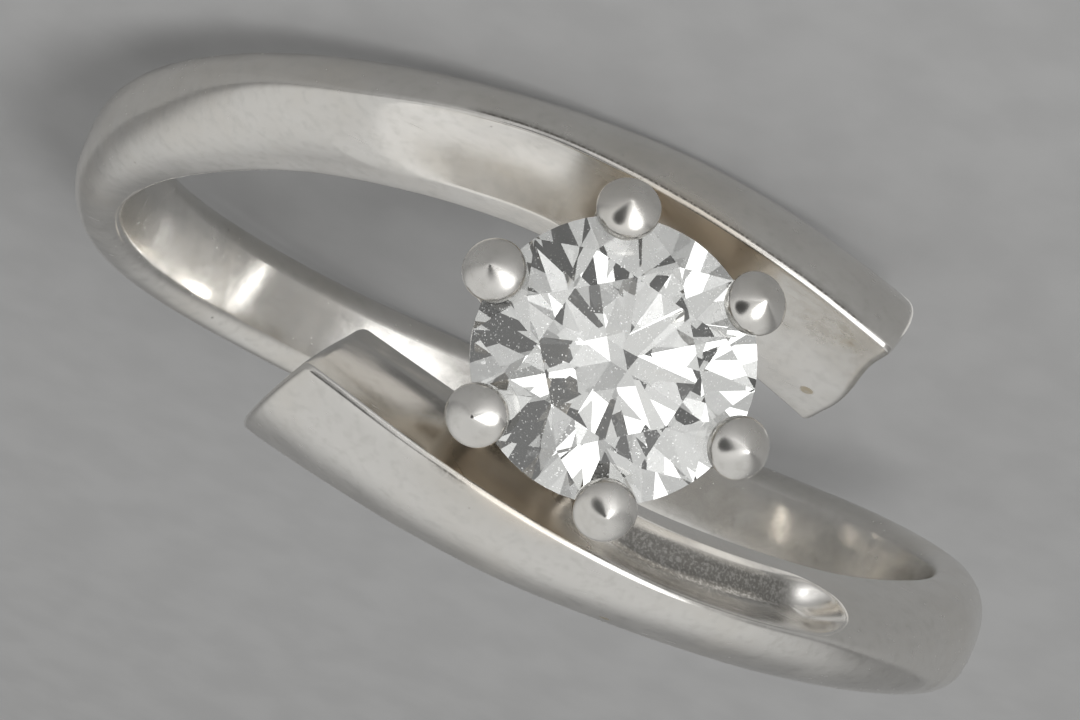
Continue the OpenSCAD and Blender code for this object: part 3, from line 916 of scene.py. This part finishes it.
# a scale says how often a pattern repeats in a millimetre, and an edge between which of its values it
# fades in
gold = {
    "bright": (0.80, 0.783, 0.752, 1),
    "warm": (0.76, 0.732, 0.685, 1),
    "patchScale": 0.35,
    "patchEdge": (0.42, 0.72),
    "roughness": (0.17, 0.27),
    "hazeScale": 1.2,
    "hazeEdge": (0.35, 0.7),
    "headReach": (3.3, 4.4),        # distances from the stone between which the duller metal round it ends
    "headRoughness": 1.05,
    # the soldered metal under the girdle is dull and brownish; heights are measured from the girdle
    "solder": (0.88, 0.80, 0.69, 1),
    "solderReach": (3.1, 3.7),
    "solderHeight": (-0.7, -0.2),
    "solderRoughness": 0.2,
    # the dark colour laid where the mesh marks it: painted shade, with dirt along the creases, in broken lines
    "shadeDirt": (0.13, 0.12, 0.105, 1),
    "shadeDirtScale": 18,
    "shadeDirtEdge": (0.34, 0.56),
    "shadeDirtLeast": 0.55,
    "grain": (0.70, 0.685, 0.65, 1),
    "grainScale": 4.5,
    "grainEdge": (0.45, 0.75),
    "grainShare": 0.7,
    "grainHeight": 0.0016,
    "waveScale": 0.9,
    "waveHeight": 0.010,
    "pits": {"Scale": 2.6, "Size": 0.12, "Share": 0.35},
    "pitColor": (0.20, 0.18, 0.15, 1),
    "pitShare": 0.7,
    # scratches: how each set is turned, its grid, the width of a line and the share of cells with one
    "scratches": (
        ((0.3, 0.2, 0.4), (0.12, 7, 7), 0.16, 0.5),
        ((1.1, 0.5, -0.9), (0.2, 9, 9), 0.14, 0.4),
        ((-0.6, 1.3, 1.9), (0.3, 8, 8), 0.12, 0.35),
    ),
    "scratchDepth": 0.0016,
    "scratchRoughness": 0.12,
    # stains: middle and radius, colour, how ragged the edge is and how far out the full colour goes
    "stains": (
        ((-4.00, -9.05, 2.37), 0.11, (0.50, 0.43, 0.33, 1), 1.3, 0.1),
        ((-4.00, -9.05, 2.37), 0.40, (0.71, 0.67, 0.60, 1), 1.4, 0),
        ((-3.42, -8.87, 2.31), 0.55, (0.72, 0.695, 0.655, 1), 1.6, -0.2),
        ((-3.73, -9.32, 2.27), 0.22, (0.69, 0.66, 0.60, 1), 1.4, 0),
        ((-3.87, -6.76, 2.87), 0.16, (0.58, 0.51, 0.39, 1), 0.7, 0.6),
        ((-2.01, -6.78, 8.37), 0.13, (0.54, 0.47, 0.34, 1), 1.0, 0.4),
    ),
    "stainRoughness": 0.15,
}


def layStains(tree, inMm, color):
    # the colour with the stains on it, the first of the table on top, and a mask of all of them
    stain = stainGroup()
    marks = 0.0
    for k, (middle, radius, stainColor, ragged, core) in enumerate(reversed(gold["stains"])):
        mask = placeGroup(tree, stain, (-1400, -300 * k), {
            "Vector": inMm, "Centre": middle, "Radius": radius, "Ragged": ragged, "Core": core})
        color = tint(tree, (-1100 + 60 * k, 300), mask, color, stainColor)
        marks = math2(tree, (-1100, -300 * k), "MAXIMUM", mask, marks)
    return color, marks


def scratchLines(tree, inMm):
    scratch = scratchGroup()
    lines = 0.0
    for k, (turn, grid, width, share) in enumerate(gold["scratches"]):
        mask = placeGroup(tree, scratch, (-1700, -600 - 300 * k),
                          {"Vector": inMm, "Turn": turn, "Grid": grid, "Width": width, "Share": share})
        lines = math2(tree, (-1400, -2200 - 200 * k), "MAXIMUM", mask, lines)
    return lines


def nearStone(tree, inMm):
    # each point's distance from the middle of the girdle, and a mask of the soldered metal under it
    girdle = layDown @ Vector((0, 0, girdleZ)) / mm
    stoneAxis = (layDown.to_3x3() @ Vector((0, 0, 1))).normalized()
    toStone = addNode(tree, "ShaderNodeVectorMath", (-1300, 100), {0: inMm, 1: girdle}, operation="DISTANCE")
    aside = addNode(tree, "ShaderNodeVectorMath", (-1500, 800), {0: inMm, 1: girdle}, operation="SUBTRACT")
    rise = addNode(tree, "ShaderNodeVectorMath", (-1300, 800), {0: aside.outputs["Vector"], 1: stoneAxis},
                   operation="DOT_PRODUCT")
    near = fade(tree, (-1100, 900), toStone.outputs["Value"], *gold["solderReach"], 1, 0)
    under = fade(tree, (-1100, 700), rise.outputs["Value"], *gold["solderHeight"], 1, 0)
    return toStone.outputs["Value"], math2(tree, (-900, 800), "MULTIPLY", near, under)


def whiteGold():
    material, tree, shader = newMaterial("white gold")
    shader.inputs["Metallic"].default_value = 1
    inMm = inMillimetres(tree, (-2000, 0))
    patches = addNoise(tree, (-1700, 300), inMm, gold["patchScale"], 4.0, 0.6)
    warmer = fade(tree, (-1550, 300), patches, *gold["patchEdge"], 0, 1)
    color = tint(tree, (-1400, 300), warmer, gold["bright"], gold["warm"])
    color, marks = layStains(tree, inMm, color)
    lines = scratchLines(tree, inMm)
    pits = placeGroup(tree, speckGroup(), (-1700, -1600), {"Vector": inMm, **gold["pits"]})
    pitted = math2(tree, (-700, 500), "MULTIPLY", pits, gold["pitShare"])
    color = tint(tree, (-500, 300), pitted, color, gold["pitColor"])
    grain = addNoise(tree, (-1700, 600), inMm, gold["grainScale"], 5.0)
    grained = fade(tree, (-600, 600), grain, *gold["grainEdge"], 0, gold["grainShare"])
    color = tint(tree, (-400, 300), grained, color, gold["grain"])
    fromStone, solder = nearStone(tree, inMm)
    color = tint(tree, (-300, 300), solder, color, gold["solder"])
    # painted shade: the dark colour laid along the creases, with dirt, and on the bands of the scoop, as the
    # mesh marks them
    marked = addNode(tree, "ShaderNodeAttribute", (-1700, 1100), attribute_name="shadeAndDirt").outputs["Fac"]
    broken = addNoise(tree, (-1700, 1300), inMm, gold["shadeDirtScale"], 3.0)
    broken = fade(tree, (-1100, 1200), broken, *gold["shadeDirtEdge"], gold["shadeDirtLeast"], 1)
    shadeAndDirt = math2(tree, (-900, 1100), "MULTIPLY", marked, broken)
    color = tint(tree, (-200, 300), shadeAndDirt, color, gold["shadeDirt"])
    tree.links.new(color, shader.inputs["Base Color"])
    haze = addNoise(tree, (-1700, 0), inMm, gold["hazeScale"], 3.0)
    rough = fade(tree, (-1000, 0), haze, *gold["hazeEdge"], *gold["roughness"])
    worn = fade(tree, (-1150, 100), fromStone, *gold["headReach"], gold["headRoughness"], 1)
    rough = math2(tree, (-900, 50), "MULTIPLY", rough, worn)
    duller = ((solder, gold["solderRoughness"]), (marks, gold["stainRoughness"]),
              (lines, gold["scratchRoughness"]))
    for k, (mask, more) in enumerate(duller):
        added = math2(tree, (-850 + 100 * k, -150), "MULTIPLY", mask, more)
        rough = math2(tree, (-800 + 100 * k, 50), "ADD", rough, added)
    tree.links.new(rough, shader.inputs["Roughness"])
    waves = addNoise(tree, (-1400, -1000), inMm, gold["waveScale"], 2.0)
    height = math2(tree, (-900, -800), "MULTIPLY", waves, gold["waveHeight"])
    scored = math2(tree, (-900, -1000), "MULTIPLY", lines, gold["scratchDepth"])
    height = math2(tree, (-700, -800), "SUBTRACT", height, scored)
    raised = math2(tree, (-700, -1000), "MULTIPLY", grain, gold["grainHeight"])
    height = math2(tree, (-500, -800), "ADD", height, raised)
    bump = addNode(tree, "ShaderNodeBump", (-300, -600), {"Height": height, "Distance": mm, "Strength": 1.0})
    tree.links.new(bump.outputs["Normal"], shader.inputs["Normal"])
    return material


# dust sits on the stone in patches; it blurs what lies behind, and it glows as painted light, while the rest
# of the surface glows faintly as painted light
glass = {
    "color": (0.992, 1, 0.98, 1),
    "refraction": 2.417,
    "patchScale": 1.1,
    "patchEdge": (0.42, 0.62),
    "patchLeast": 0.1,
    "dust": {"Scale": 15, "Size": 0.38, "Share": 0.8},
    "dustRoughness": 0.7,
    # the colour in which the dust glows, a painted highlight
    "dustGlow": (1, 1, 0.98, 1),
    "haze": (0.012, 0.012, 0.0115, 1),  # faint even painted glow of the surface beside the dust
    "glow": 0.6,
}


def diamondGlass():
    material, tree, shader = newMaterial("diamond")
    shader.inputs["Base Color"].default_value = glass["color"]
    shader.inputs["Metallic"].default_value = 0
    shader.inputs["IOR"].default_value = glass["refraction"]
    shader.inputs["Transmission Weight"].default_value = 1
    inMm = inMillimetres(tree, (-1400, 0))
    patches = addNoise(tree, (-1200, 300), inMm, glass["patchScale"], 2.0)
    dusty = fade(tree, (-1000, 300), patches, *glass["patchEdge"], glass["patchLeast"], 1)
    dust = placeGroup(tree, speckGroup(), (-1000, 0), {"Vector": inMm, **glass["dust"]})
    dust = math2(tree, (-800, 100), "MULTIPLY", dust, dusty)
    rough = math2(tree, (-700, 0), "MULTIPLY", dust, glass["dustRoughness"])
    tree.links.new(rough, shader.inputs["Roughness"])
    # painted glow: the dust glows brightly and the rest of the surface faintly
    bright = tint(tree, (-500, -200), dust, glass["haze"], glass["dustGlow"])
    tree.links.new(bright, shader.inputs["Emission Color"])
    shader.inputs["Emission Strength"].default_value = glass["glow"]
    return material


print("ring: shank and arms")
ring = drawBand()

print("ring: claws, rail and collet")
combine(ring, [buildHead()], "UNION")
ring.name = "ring_body"
ring.data.materials.clear()
ring.data.materials.append(whiteGold())
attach(ring, "root")
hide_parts("ring_metal")

print("ring: stone")
brilliant = cutStone()
brilliant.data.materials.append(diamondGlass())
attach(brilliant, "root")
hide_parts("diamond")

print("ring: camera, floor and lamps")
camera = placeCamera()
floor = layFloor()
pitchTent(camera)
hangLamps(floor, ring)
holdLens(camera)
bpy.context.scene.view_settings.view_transform = "Standard"

print("ring: sizes")
print("ring:", len(ring.data.polygons), "metal faces,", len(brilliant.data.polygons), "stone faces")
